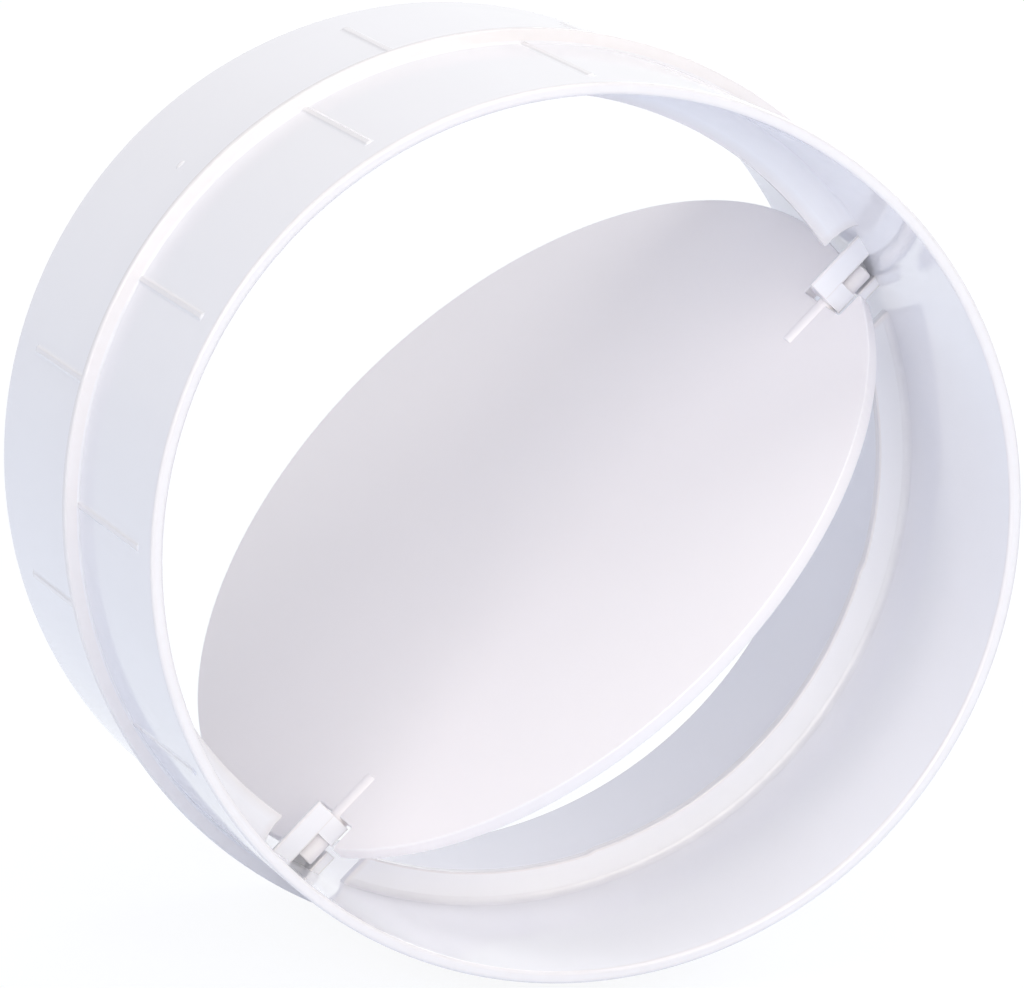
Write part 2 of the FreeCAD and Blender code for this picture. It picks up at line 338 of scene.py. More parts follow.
@dataclass(frozen=True)
class DuctFrame:
    """Turns the duct's own millimetres into the row frame's metres.

    In the duct's own frame z is the duct axis with the rear rim at 0, y is the hinge line and x goes across.
    """

    roll: float = math.radians(45.0)
    origin_inset: float = 0.6
    hinge_offset: float = 19.8
    hinge_height: float = 45.3
    open_angle: float = math.radians(78.0)

    def axes(self) -> np.ndarray:
        """The row directions of the duct's x, y and z, as rows."""
        s, c = math.sin(self.roll), math.cos(self.roll)
        return np.array([[s, 0.0, -c], [c, 0.0, s], [0.0, -1.0, 0.0]])

    def to_row(self, points: np.ndarray) -> np.ndarray:
        """Row metres of points in the duct's millimetres.

        Args:
            points: an array of duct points.

        Returns:
            The same points in the row frame, in metres.
        """
        return (points @ self.axes() + np.array([0.0, self.origin_inset, 0.0])) * MM

    def opened(self, points: np.ndarray) -> np.ndarray:
        """Duct points of the flap's own points, swung open about the hinge line.

        With x measured from the hinge line, x' = x cos a - z sin a and z' = x sin a + z cos a.

        Args:
            points: points of the closed flap about its own centre, in millimetres.

        Returns:
            The points in the duct's frame at rest.
        """
        s, c = math.sin(self.open_angle), math.cos(self.open_angle)
        x = points[:, 0] - self.hinge_offset
        z = points[:, 2]
        across = self.hinge_offset + x * c - z * s
        return np.stack([across, points[:, 1], self.hinge_height + x * s + z * c], axis=1)


DUCT = DuctFrame()


def linked(name: str, data: bpy.types.ID) -> bpy.types.Object:
    """A new object in the scene.

    Args:
        name: its name.
        data: its mesh, lamp or lens.

    Returns:
        The object, at the origin.
    """
    thing = bpy.data.objects.new(name, data)
    bpy.context.scene.collection.objects.link(thing)
    return thing


def make_object(name: str, patches: list[Patch]) -> bpy.types.Object:
    """One mesh object from patches whose points are already in row metres.

    Args:
        name: the piece's name.
        patches: its closed surfaces.

    Returns:
        The linked object, smooth shaded, with the masks as point attributes.
    """
    starts = np.cumsum([0] + [len(patch.points) for patch in patches])
    points = np.concatenate([patch.points for patch in patches])
    quads = np.concatenate([patch.quads + start for patch, start in zip(patches, starts)])
    caps = [cap + start for patch, start in zip(patches, starts) for cap in patch.caps]
    totals = np.concatenate([np.full(len(quads), 4), [len(cap) for cap in caps]]).astype(np.int32)
    corners = np.concatenate([quads.reshape(-1), *caps]).astype(np.int32)
    mesh = bpy.data.meshes.new(name)
    mesh.vertices.add(len(points))
    mesh.vertices.foreach_set("co", points.astype(np.float32).reshape(-1))
    mesh.loops.add(len(corners))
    mesh.loops.foreach_set("vertex_index", corners)
    mesh.polygons.add(len(totals))
    mesh.polygons.foreach_set("loop_start", np.concatenate([[0], np.cumsum(totals)[:-1]]).astype(np.int32))
    mesh.polygons.foreach_set("use_smooth", np.ones(len(totals), dtype=bool))
    mesh.update(calc_edges=True)
    mesh.validate()
    edge = np.concatenate([patch.edge for patch in patches]).astype(np.float32)
    for mask, values in ((Mask.EDGE, np.clip(edge, 0.0, 1.0)), (Mask.CREASE, np.clip(-edge, 0.0, 1.0))):
        layer = mesh.attributes.new(mask.value, "FLOAT", "POINT")
        layer.data.foreach_set("value", values)
    return linked(name, mesh)


@dataclass(frozen=True)
class Noise:
    """A noise pattern: waves in a metre, octaves, its share in a sum and the stretch of its three axes."""

    scale: float
    detail: float
    share: float = 1.0
    stretch: Triple = (1.0, 1.0, 1.0)


class NodePen:
    """Places and links shader nodes in one tree."""

    def __init__(self, tree: bpy.types.NodeTree) -> None:
        """Keeps the tree to draw in."""
        self.tree = tree

    def add(self, kind: str, **settings: object) -> bpy.types.Node:
        """A new node with some of its settings.

        Args:
            kind: the node's type name.
            settings: properties to set on it.

        Returns:
            The node.
        """
        node = self.tree.nodes.new(kind)
        for key, value in settings.items():
            setattr(node, key, value)
        return node

    def feed(self, source: object, target: Socket) -> None:
        """Gives an input a link or a plain value.

        Args:
            source: an output socket, or a number or colour.
            target: the input socket.
        """
        if isinstance(source, Socket):
            self.tree.links.new(source, target)
        else:
            target.default_value = source

    def math(self, operation: str, first: object, second: object) -> Socket:
        """The result of a math node whose inputs are sockets or numbers.

        Args:
            operation: the node's operation.
            first: its first input.
            second: its second input.

        Returns:
            The value socket.
        """
        node = self.add("ShaderNodeMath", operation=operation)
        self.feed(first, node.inputs[0])
        self.feed(second, node.inputs[1])
        return node.outputs[0]

    def mix(self, factor: object, first: object, second: object) -> Socket:
        """A colour between two, by a factor.

        Args:
            factor: a socket or number.
            first: socket or colour at factor 0.
            second: socket or colour at factor 1.

        Returns:
            The colour socket.
        """
        node = self.add("ShaderNodeMix", data_type="RGBA")
        for name, value in (("Factor_Float", factor), ("A_Color", first), ("B_Color", second)):
            self.feed(value, next(socket for socket in node.inputs if socket.identifier == name))
        return next(socket for socket in node.outputs if socket.identifier == "Result_Color")

    def noise(self, pattern: Noise) -> Socket:
        """A noise on Object coordinates, times its share.

        Args:
            pattern: the noise.

        Returns:
            The value socket, from 0 to the share.
        """
        place = self.add("ShaderNodeTexCoord")
        mapping = self.add("ShaderNodeMapping")
        self.feed(pattern.stretch, mapping.inputs["Scale"])
        self.feed(place.outputs["Object"], mapping.inputs["Vector"])
        noise = self.add("ShaderNodeTexNoise")
        self.feed(pattern.scale, noise.inputs["Scale"])
        self.feed(pattern.detail, noise.inputs["Detail"])
        self.feed(mapping.outputs["Vector"], noise.inputs["Vector"])
        return self.math("MULTIPLY", noise.outputs[0], pattern.share)

    def mask(self, mask: Mask) -> Socket:
        """The value of one of the point masks."""
        return self.add("ShaderNodeAttribute", attribute_name=mask.value).outputs["Fac"]

    def effect(self, group: bpy.types.NodeTree, values: dict[str, object]) -> Socket:
        """A shared effect with this material's own values.

        Args:
            group: the effect's shader group.
            values: what each of its inputs gets.

        Returns:
            The effect's one output.
        """
        node = self.add("ShaderNodeGroup", node_tree=group)
        for label, value in values.items():
            self.feed(value, node.inputs[label])
        return node.outputs[0]

    def show(self, lit: bpy.types.Node, seen: bpy.types.Node, share: float, output: str) -> None:
        """Blends two shaders by ray: one is seen, straight, through the part or reflected, and one lights.

        Args:
            lit: the shader for all other rays.
            seen: the shader that the camera sees.
            share: how much of it the camera sees.
            output: type name of the output node.
        """
        rays = self.add("ShaderNodeLightPath")
        direct = self.math("MAXIMUM", rays.outputs["Is Camera Ray"], rays.outputs["Is Transmission Ray"])
        direct = self.math("MAXIMUM", direct, rays.outputs["Is Glossy Ray"])
        blend = self.add("ShaderNodeMixShader")
        self.feed(self.math("MULTIPLY", direct, share), blend.inputs[0])
        self.feed(lit.outputs[0], blend.inputs[1])
        self.feed(seen.outputs[0], blend.inputs[2])
        self.feed(blend.outputs[0], self.add(output).inputs["Surface"])


def new_group(
    name: str, colours: tuple[str, ...], values: tuple[str, ...], output: tuple[str, str]
) -> tuple[NodePen, bpy.types.Node, bpy.types.Node]:
    """An empty shader group with named sockets.

    Args:
        name: the group's name.
        colours: names of its colour inputs.
        values: names of its number inputs.
        output: name and socket type of the output.

    Returns:
        A pen for the group, its input node and its output node.
    """
    group = bpy.data.node_groups.new(name, "ShaderNodeTree")
    for kind, labels in ((COLOR, colours), (FLOAT, values)):
        for label in labels:
            group.interface.new_socket(label, in_out="INPUT", socket_type=kind)
    group.interface.new_socket(output[0], in_out="OUTPUT", socket_type=output[1])
    pen = NodePen(group)
    return pen, pen.add("NodeGroupInput"), pen.add("NodeGroupOutput")


@dataclass
class PlasticGroups:
    """The shared effects of the two moulded finishes, each built once as a shader group."""

    slow_drift: Noise = Noise(14.0, 3.0, 0.7)
    fine_drift: Noise = Noise(240.0, 4.0, 0.3)
    # Noise and floor value that break up the painted edge lighting.
    edge_lighting_noise: Noise = Noise(420.0, 3.0, 0.25)
    least_edge_lighting: float = 0.4
    # Noise that breaks up the painted crease shade.
    crease_patches: Noise = Noise(160.0, 5.0)
    clouds: Noise = Noise(30.0, 4.0, 0.6)
    streaks: Noise = Noise(190.0, 5.0, 0.4, (1.0, 0.12, 1.0))
    waves: Noise = Noise(38.0, 1.0)
    mould_grain: Noise = Noise(2600.0, 2.0)
    draw_lines: Noise = Noise(900.0, 2.0, 1.0, (1.0, 0.03, 1.0))

    def __post_init__(self) -> None:
        """Builds the groups for tone, gloss and surface."""
        self.tone = self.build_tone()
        self.gloss = self.build_gloss()
        self.relief = self.build_relief()

    def build_tone(self) -> bpy.types.NodeTree:
        """Colour: slow drifts between two tones of the resin, painted light on the edges and painted shade in
        the corners.

        Returns:
            The group.
        """
        colours = ("Tone", "Deep Tone", "Edge Lighting Tone", "Crease Shade Tone")
        amounts = ("Edge Lighting Amount", "Crease Shade Amount")
        pen, entry, leave = new_group("moulded_tone", colours, amounts, ("Color", COLOR))
        drift = pen.math("ADD", pen.noise(self.slow_drift), pen.noise(self.fine_drift))
        body = pen.mix(drift, entry.outputs["Tone"], entry.outputs["Deep Tone"])
        # Painted light on the edges: the edge mask mixes in the edge lighting tone, painted shade on the
        # housing and a faint painted highlight on the flap.
        edge_weight = pen.math("ADD", pen.noise(self.edge_lighting_noise), self.least_edge_lighting)
        edge_lit = pen.math("MULTIPLY", pen.mask(Mask.EDGE), edge_weight)
        edge_lit = pen.math("MULTIPLY", edge_lit, entry.outputs["Edge Lighting Amount"])
        edged = pen.mix(edge_lit, body, entry.outputs["Edge Lighting Tone"])
        # Painted shade in the corners: the crease mask, broken up by noise, mixes in the darker crease shade
        # tone.
        shade_mix = pen.math("MULTIPLY", pen.mask(Mask.CREASE), pen.noise(self.crease_patches))
        shade_mix = pen.math("MULTIPLY", shade_mix, entry.outputs["Crease Shade Amount"])
        crease_shaded = pen.mix(shade_mix, edged, entry.outputs["Crease Shade Tone"])
        pen.feed(crease_shaded, leave.inputs["Color"])
        return pen.tree

    def build_gloss(self) -> bpy.types.NodeTree:
        """Roughness: between smooth and dull by slow clouds and fine scuffed streaks, smoother on the edges.

        Returns:
            The group.
        """
        values = ("Smooth", "Dull", "Edge Polish")
        pen, entry, leave = new_group("moulded_gloss", (), values, ("Roughness", FLOAT))
        cloudy = pen.math("ADD", pen.noise(self.clouds), pen.noise(self.streaks))
        span = pen.math("SUBTRACT", entry.outputs["Dull"], entry.outputs["Smooth"])
        rough = pen.math("ADD", entry.outputs["Smooth"], pen.math("MULTIPLY", span, cloudy))
        edge_weight = pen.math("MULTIPLY", pen.mask(Mask.EDGE), entry.outputs["Edge Polish"])
        polish = pen.math("SUBTRACT", 1.0, edge_weight)
        pen.feed(pen.math("MULTIPLY", rough, polish), leave.inputs["Roughness"])
        return pen.tree

    def build_relief(self) -> bpy.types.NodeTree:
        """Height: broad shrinkage waves, a fine mould grain and faint draw lines along the duct.

        Returns:
            The group.
        """
        pen, entry, leave = new_group("moulded_relief", (), ("Wave", "Grain", "Draw"), ("Height", FLOAT))
        wave = pen.math("MULTIPLY", pen.noise(self.waves), entry.outputs["Wave"])
        grain = pen.math("MULTIPLY", pen.noise(self.mould_grain), entry.outputs["Grain"])
        draw = pen.math("MULTIPLY", pen.noise(self.draw_lines), entry.outputs["Draw"])
        pen.feed(pen.math("ADD", wave, pen.math("ADD", grain, draw)), leave.inputs["Height"])
        return pen.tree


@dataclass(frozen=True)
class MouldedPlastic:
    """A white moulded plastic finish."""

    name: str
    tone: Colour
    deep_tone: Colour
    # Painted light on the edges and painted shade in the corners, each by tone and amount.
    edge_lighting_tone: Colour
    edge_lighting_amount: float
    crease_shade_amount: float
    smooth: float
    dull: float
    edge_polish: float
    grain: float
    draw: float
    relief: float
    wave: float = 1.0
    # A darker mauve grey, painted as shade into the corners.
    crease_shade_tone: Colour = (0.62, 0.60, 0.64, 1.0)
    bump_strength: float = 1.0
    refraction: float = 1.5

    def make(self, groups: PlasticGroups) -> bpy.types.Material:
        """Builds the material.

        Args:
            groups: the shared effects.

        Returns:
            The node material.
        """
        material = bpy.data.materials.new(self.name)
        material.use_nodes = True
        pen = NodePen(material.node_tree)
        shader = material.node_tree.nodes["Principled BSDF"]
        tone_values = {
            "Tone": self.tone,
            "Deep Tone": self.deep_tone,
            "Edge Lighting Tone": self.edge_lighting_tone,
            "Crease Shade Tone": self.crease_shade_tone,
            "Edge Lighting Amount": self.edge_lighting_amount,
            "Crease Shade Amount": self.crease_shade_amount,
        }
        gloss_values = {"Smooth": self.smooth, "Dull": self.dull, "Edge Polish": self.edge_polish}
        relief_values = {"Wave": self.wave, "Grain": self.grain, "Draw": self.draw}
        pen.feed(pen.effect(groups.tone, tone_values), shader.inputs["Base Color"])
        pen.feed(pen.effect(groups.gloss, gloss_values), shader.inputs["Roughness"])
        bump = pen.add("ShaderNodeBump")
        bump.inputs["Strength"].default_value = self.bump_strength
        bump.inputs["Distance"].default_value = self.relief
        pen.feed(pen.effect(groups.relief, relief_values), bump.inputs["Height"])
        pen.feed(bump.outputs["Normal"], shader.inputs["Normal"])
        shader.inputs["IOR"].default_value = self.refraction
        return material


# The housing's edge lighting tone is darker and warm: painted shade on its rims, flange, ribs and rounds, and
# painted shade in its root fillets.
GLOSS_WHITE = MouldedPlastic(
    name="gloss_white_moulding",
    tone=(0.955, 0.955, 0.988, 1.0),
    deep_tone=(0.93, 0.938, 0.985, 1.0),
    edge_lighting_tone=(0.785, 0.722, 0.69, 1.0),
    edge_lighting_amount=0.7,
    crease_shade_amount=0.35,
    smooth=0.045,
    dull=0.11,
    edge_polish=0.25,
    grain=0.004,
    draw=0.008,
    relief=0.00006,
)
# The flap's edge lighting tone is a little paler and cooler than its tone: a faint painted highlight on its
# rounded edges.
SATIN_WHITE = MouldedPlastic(
    name="satin_white_moulding",
    tone=(0.967, 0.936, 0.947, 1.0),
    deep_tone=(0.947, 0.917, 0.93, 1.0),
    edge_lighting_tone=(0.955, 0.95, 0.965, 1.0),
    edge_lighting_amount=0.8,
    crease_shade_amount=0.3,
    smooth=0.34,
    dull=0.5,
    edge_polish=0.2,
    grain=0.06,
    draw=0.0,
    relief=0.00005,
)


@dataclass
class Housing:
    """The housing moulding in millimetres: tube, flange, grip ribs, inner webs and hinge brackets."""

    spigot_radius: float = 74.5
    wall: float = 2.05
    length: float = 90.0
    rim_round: float = 0.6
    flange_radius: float = 77.05
    flange_rear: float = 46.0
    flange_front: float = 47.7
    flange_root: float = 0.35
    flange_round: float = 0.5
    rib_height: float = 0.3
    rib_width: float = 1.0
    rib_shoulder: float = 0.12
    rib_pitch: float = 30.0
    rib_ease: float = 0.3
    rib_mask: float = 0.7
    rib_mask_from: float = 0.4
    rib_rows: tuple[float, ...] = (0.6, 0.35, 0.2, 0.1, 0.0, -0.1, -0.2, -0.35, -0.6)
    rib_columns: tuple[float, ...] = (0.0, 0.25, 0.4, 0.5, 0.6, 0.75, 1.0, 1.6)
    column_pitch: float = 1.5
    column_clear: float = 1.2
    front_rows: Triple = (86.5, 72.0, 60.0)
    rear_rows: Triple = (34.0, 22.0, 5.0)
    margin: float = 0.15
    rim_mask: float = 0.8
    bore_rows: int = 9
    gate_turn: float = 180.0
    gate_height: float = 28.8
    gate_size: Triple = (0.28, 0.95, 0.6)
    gate_grid: tuple[int, int] = (17, 32)
    gate_pole: float = 0.02
    gate_mask: float = 0.6
    rear_rib_end: float = 11.5
    front_rib_end: float = 83.0
    seat_radius: float = 66.6
    seat_relief: float = 0.35
    seat_lip_angle: float = math.radians(30.0)
    seat_front: float = 43.75
    seat_fillet: float = 1.2
    seat_flat: float = 0.2
    seat_steps: tuple[int, int] = (10, 4)
    seat_end: float = 28.8
    stop_rear: float = 46.85
    stop_rise: float = 5.0
    stop_end: float = 10.8
    stop_nose: float = 100.0
    stop_steps: int = 22
    web: float = 2.0
    web_round: float = 0.3
    web_sink: float = 0.8
    web_bite: float = 0.006
    web_over: float = 0.4
    web_mask: float = 0.8
    web_columns: int = 181
    web_tip_steps: int = 4
    lip_reach: float = 1.0
    lip_ease: float = 0.8
    lip_turn_ease: float = 0.006
    bearing: float = 1.88
    arm_side: float = 6.0
    arm_gap: float = 0.2
    arm_top: float = 3.1
    arm_bottom: float = 1.3
    arm_edge: float = 0.7
    arm_undercut: float = 2.2
    pocket_root: float = 70.1
    pocket_top: float = 3.45
    bracket_in: float = 59.69
    arm_root: float = 71.8
    guard_root: float = 69.4
    joint_step: float = 0.02
    joint_overlap: float = 0.9
    hook_out: float = 63.69
    hook_side: float = 1.25
    finger_in: float = 63.99
    finger_out: float = 67.59
    finger_side: float = 3.6
    finger_drop: float = 3.4
    guard_in: float = 64.59
    guard_side: float = 2.5
    guard_wall: float = 1.9
    guard_drop: float = 0.1
    guard_height: float = 5.2
    block_round: float = 0.32
    block_edge: float = 0.22
    saddle_lip: float = 0.12
    saddle_margin: float = 0.06
    saddle_steps: int = 13
    sunk_round: float = 0.01

    @property
    def bore(self) -> float:
        """The inside radius of the tube."""
        return self.spigot_radius - self.wall

    def shell_profile(self) -> ArrayPair:
        """The closed half section of tube and flange, as (radius, height) points.

        It goes up the bore, over the front rim, down the outside past the flange and back under the rear rim.

        Returns:
            The points, and a mask: 1 on the flange and on rounds that stand out, -1 in the root fillets.
        """
        bore, out, rim, near = self.bore, self.spigot_radius, self.rim_round, self.margin
        top, tip, crest = self.length, self.flange_round, self.flange_radius
        steps = np.array(self.rib_rows)
        ahead, behind = self.front_rows, self.rear_rows
        front = np.concatenate([[top - rim - near, ahead[0]], self.front_rib_end + steps, ahead[1:]])
        rear = np.concatenate([behind[:2], self.rear_rib_end + steps, [behind[2], rim + near]])
        face = np.array([[out, ahead[2]], [out, self.flange_front], [crest, self.flange_front]])
        back = np.array([[crest, self.flange_rear], [out, self.flange_rear], [out, behind[0]]])
        face_points, face_mask = rounded_chain(face, self.flange_root, margin=near)
        back_points, back_mask = rounded_chain(back, self.flange_root, margin=near)
        return joined(
            [
                (run((bore, rim + near), (bore, top - rim - near), self.bore_rows), 0.0),
                (arc((bore + rim, top - rim), rim, 180.0, 90.0), 1.0),
                (run((bore + rim + near, top), (out - rim - near, top)), self.rim_mask),
                (arc((out - rim, top - rim), rim, 90.0, 0.0), 1.0),
                (np.stack([np.full(len(front), out), front], axis=1), 0.0),
                (face_points, np.append(-np.abs(face_mask[:-1]), 1.0)),
                (arc((crest - tip, self.flange_front - tip), tip, 90.0, 0.0), 1.0),
                (arc((crest - tip, self.flange_rear + tip), tip, 0.0, -90.0), 1.0),
                (back_points, np.append(1.0, -np.abs(back_mask[1:]))),
                (np.stack([np.full(len(rear), out), rear], axis=1), 0.0),
                (arc((out - rim, rim), rim, 0.0, -90.0), 1.0),
                (run((out - rim - near, 0.0), (bore + rim + near, 0.0)), 0.0),
                (arc((bore + rim, rim), rim, -90.0, -180.0), 1.0),
            ]
        )

    def rib_angles(self, shift: float) -> np.ndarray:
        """The radians of one ring of ribs, from a shift in degrees; the filling point has no rib."""
        angles = np.arange(0.0, 360.0, self.rib_pitch) + shift
        return np.radians(angles[angles != self.gate_turn])

    @staticmethod
    def turn_gap(angles: np.ndarray, marks: np.ndarray) -> np.ndarray:
        """The angle from each of some angles to its nearest mark, around the circle.

        Args:
            angles: angles in radians.
            marks: the marks' angles in radians.

        Returns:
            One gap for each angle, in radians.
        """
        turned = (angles[:, None] - marks[None] + math.pi) % (2.0 * math.pi) - math.pi
        return np.abs(turned).min(axis=1)

    def gate_nib(self) -> Patch:
        """The small round nib that the filling point leaves on the rear spigot: half an egg sunk in the wall.

        A point of the egg at polar angle p and turn t lies at radius + tall cos p out from the duct axis,
        wide sin p cos t around it and long sin p sin t along it.

        Returns:
            The closed patch.
        """
        tall, wide, long = self.gate_size
        rows, columns = self.gate_grid
        polar = np.linspace(self.gate_pole, math.pi - self.gate_pole, rows)
        p, t = np.meshgrid(polar, np.linspace(0.0, 2.0 * math.pi, columns + 1)[:-1], indexing="ij")
        out = self.spigot_radius + tall * np.cos(p)
        around = math.radians(self.gate_turn) + wide * np.sin(p) * np.cos(t) / self.spigot_radius
        along = self.gate_height + long * np.sin(p) * np.sin(t)
        points = np.stack([out * np.cos(around), out * np.sin(around), along], axis=-1)
        return capped(points, np.full(p.shape, self.gate_mask))

    def shell(self) -> Patch:
        """The tube with flange and grip ribs as one surface of turn and profile.

        Radius = the larger of the profile's radius and spigot radius + rib height * across * along, where
        across is an eased step in the arc distance from the nearest rib and along an eased step at the rib's
        end. The columns crowd together on the ribs.

        Returns:
            The closed patch.
        """
        profile, mask = self.shell_profile()
        half = self.rib_width / 2.0
        side = np.array(self.rib_columns)
        near = np.concatenate([-side[:0:-1], side]) * half
        rear, front = self.rib_angles(0.0), self.rib_angles(self.rib_pitch / 2.0)
        ribs = np.concatenate([rear, front])
        dense = (ribs[:, None] + near[None] / self.spigot_radius).reshape(-1)
        even = np.radians(np.arange(0.0, 360.0, self.column_pitch) + self.column_pitch / 2.0)
        clear = self.turn_gap(even, ribs) > self.column_clear * near[-1] / self.spigot_radius
        turn = np.sort(np.concatenate([dense, even[clear]]) % (2.0 * math.pi))
        radius = np.broadcast_to(profile[:, 0], (len(turn), len(profile))).copy()
        height = np.broadcast_to(profile[:, 1], radius.shape)
        outside = (profile[:, 0] >= self.spigot_radius - TINY)[None]
        lift = np.zeros_like(radius)
        for angles, along in (
            (rear, smoothstep((height - self.rear_rib_end) / self.rib_ease) * (height < self.flange_rear)),
            (front, smoothstep((self.front_rib_end - height) / self.rib_ease) * (height > self.flange_front)),
        ):
            away = self.turn_gap(turn, angles) * self.spigot_radius
            across = smoothstep((half - away) / (2.0 * self.rib_shoulder) + 0.5)
            lift = np.maximum(lift, across[:, None] * along)
        radius = np.where(outside, np.maximum(radius, self.spigot_radius + self.rib_height * lift), radius)
        points = np.stack([radius * np.cos(turn)[:, None], radius * np.sin(turn)[:, None], height], axis=-1)
        ribbed = outside & (lift > self.rib_mask_from)
        edge = np.where(ribbed, np.maximum(mask[None], self.rib_mask * lift), mask[None])
        quads = grid_quads(len(turn), len(profile), True)
        return Patch(points.reshape(-1, 3), quads, edge.reshape(-1)).outward()

    def web_sector(self, profile: np.ndarray, mask: np.ndarray, side: float, end: float, lip: float) -> Patch:
        """A ring profile turned about the duct axis and cut off by the flat plane x = end.

        A point of radius r lies at side * (r cos f, r sin f), with f running evenly between minus and plus
        the angle at which r meets the plane, acos(side * x / r). The end rows round over by an inset of the
        profile.

        Args:
            profile: closed anticlockwise (radius, height) points.
            mask: the profile's edge mask.
            side: 1 for the seat side of the duct, -1 for the other.
            end: x of the flat ends.
            lip: how far the profile stands further in within the lip angle, at its inner radius.

        Returns:
            The closed patch.
        """
        quarter = np.linspace(0.0, math.pi / 2.0, self.web_tip_steps)
        tip = np.concatenate([[self.web_round + FLAT_STEP], self.web_round * (1.0 - np.sin(quarter))])
        cut = np.concatenate([[0.0], self.web_round * (1.0 - np.cos(quarter))])
        sweep = np.linspace(-1.0, 1.0, self.web_columns)[1:-1]
        inset = np.concatenate([tip, np.zeros(len(sweep)), tip[::-1]])
        share = np.concatenate([np.full(len(tip), -1.0), sweep, np.full(len(tip), 1.0)])
        plane = side * end + np.concatenate([cut, np.full(len(sweep), cut[-1]), cut[::-1]])
        ring = profile[None] - inset[:, None, None] * outline_normals(profile)[None]
        radius, height = ring[..., 0], ring[..., 1]
        turn = share[:, None] * np.arccos(np.clip(plane[:, None] / radius, -1.0, 1.0))
        inner = smoothstep((self.seat_radius + self.seat_relief + self.lip_reach - radius) / self.lip_ease)
        eased = smoothstep((self.seat_lip_angle - np.abs(turn)) / self.lip_turn_ease + 0.5)
        radius = radius - lip * inner * eased
        points = np.stack([side * radius * np.cos(turn), side * radius * np.sin(turn), height], axis=-1)
        edge = np.broadcast_to(mask[None], radius.shape).copy()
        for end_rows in (slice(1, len(tip)), slice(-len(tip), -1)):
            edge[end_rows] = np.maximum(edge[end_rows], self.web_mask)
        return capped(points, edge)

    def web_ring(
        self, inner: float, low: float, rise: float, nose: float, crown: list[MaskedPoints]
    ) -> ArrayPair:
        """The closed profile of a web: up in the wall, down its face, over a crown and round its inner edge.

        Args:
            inner: radius of the inner edge.
            low: height of the rear face.
            rise: how far the crown runs up the wall, over the front face.
            nose: angle in degrees at which the inner edge's round takes over from the crown.
            crown: points and masks from the wall to the inner edge.

        Returns:
            The (radius, height) points and their mask.
        """
        back, sunk, r = self.bore + self.web_sink, self.bore + self.web_bite, self.web_round
        high = low + self.web
        over = high + rise + self.web_over
        return joined(
            [
                (run((back, low), (back, over)), 0.0),
                (run((sunk, over), (sunk, high + rise + FLAT_STEP)), 0.0),
                *crown,
                (arc((inner + r, high - r), r, nose, 180.0), 1.0),
                (arc((inner + r, low + r), r, 180.0, 270.0), 1.0),
                (run((inner + r + self.margin, low), (self.bore, low)), 0.0),
            ]
        )

    def seat_web(self) -> Patch:
        """The seat ring on the flap's short side, with a fillet up to the wall and a lip around its middle.

        Returns:
            The closed patch.
        """
        inner, high, corner = self.seat_radius + self.seat_relief, self.seat_front, self.seat_fillet
        root = self.bore + self.web_bite - corner
        fillet = arc((root, high + corner), corner, 0.0, -90.0, self.seat_steps[0])
        last = inner + self.web_round + self.margin
        face = run((root - self.seat_flat, high), (last, high), self.seat_steps[1])
        profile, mask = self.web_ring(inner, high - self.web, corner, 90.0, [(fillet, -1.0), (face, 0.0)])
        return self.web_sector(profile, mask, 1.0, self.seat_end, self.seat_relief)

    def stop_web(self) -> Patch:
        """The stop ring on the long side of the flap, run out into the front wall by a hollow arc.

        The arc leaves the wall straight down and reaches the front face at the inner edge, so its radius is
        (span^2 + rise^2) / (2 span).

        Returns:
            The closed patch.
        """
        inner, sunk, rise = self.seat_radius, self.bore + self.web_bite, self.stop_rise
        span = sunk - inner
        hollow = (span * span + rise * rise) / (2.0 * span)
        last = math.degrees(math.asin(rise / hollow))
        top = self.stop_rear + self.web + rise
        crown = arc((sunk - hollow, top), hollow, 0.0, -last, self.stop_steps)[:-1]
        profile, mask = self.web_ring(inner, self.stop_rear, rise, self.stop_nose, [(crown, 0.0)])
        return self.web_sector(profile, mask, -1.0, self.stop_end, 0.0)

    def lengthwise(self, outline: np.ndarray, start: float, end: float) -> Patch:
        """A block whose (x, z) outline is carried along the hinge line from start to end.

        Args:
            outline: corners in the (x, z) plane, anticlockwise.
            start: first y, the rounded end.
            end: last y, sunk in the wall.

        Returns:
            The closed patch, with its points as (x, y, z).
        """
        loop, mask = rounded_loop(outline, self.block_round)
        return prism(loop, mask, start, end, self.block_edge, self.sunk_round).laid()

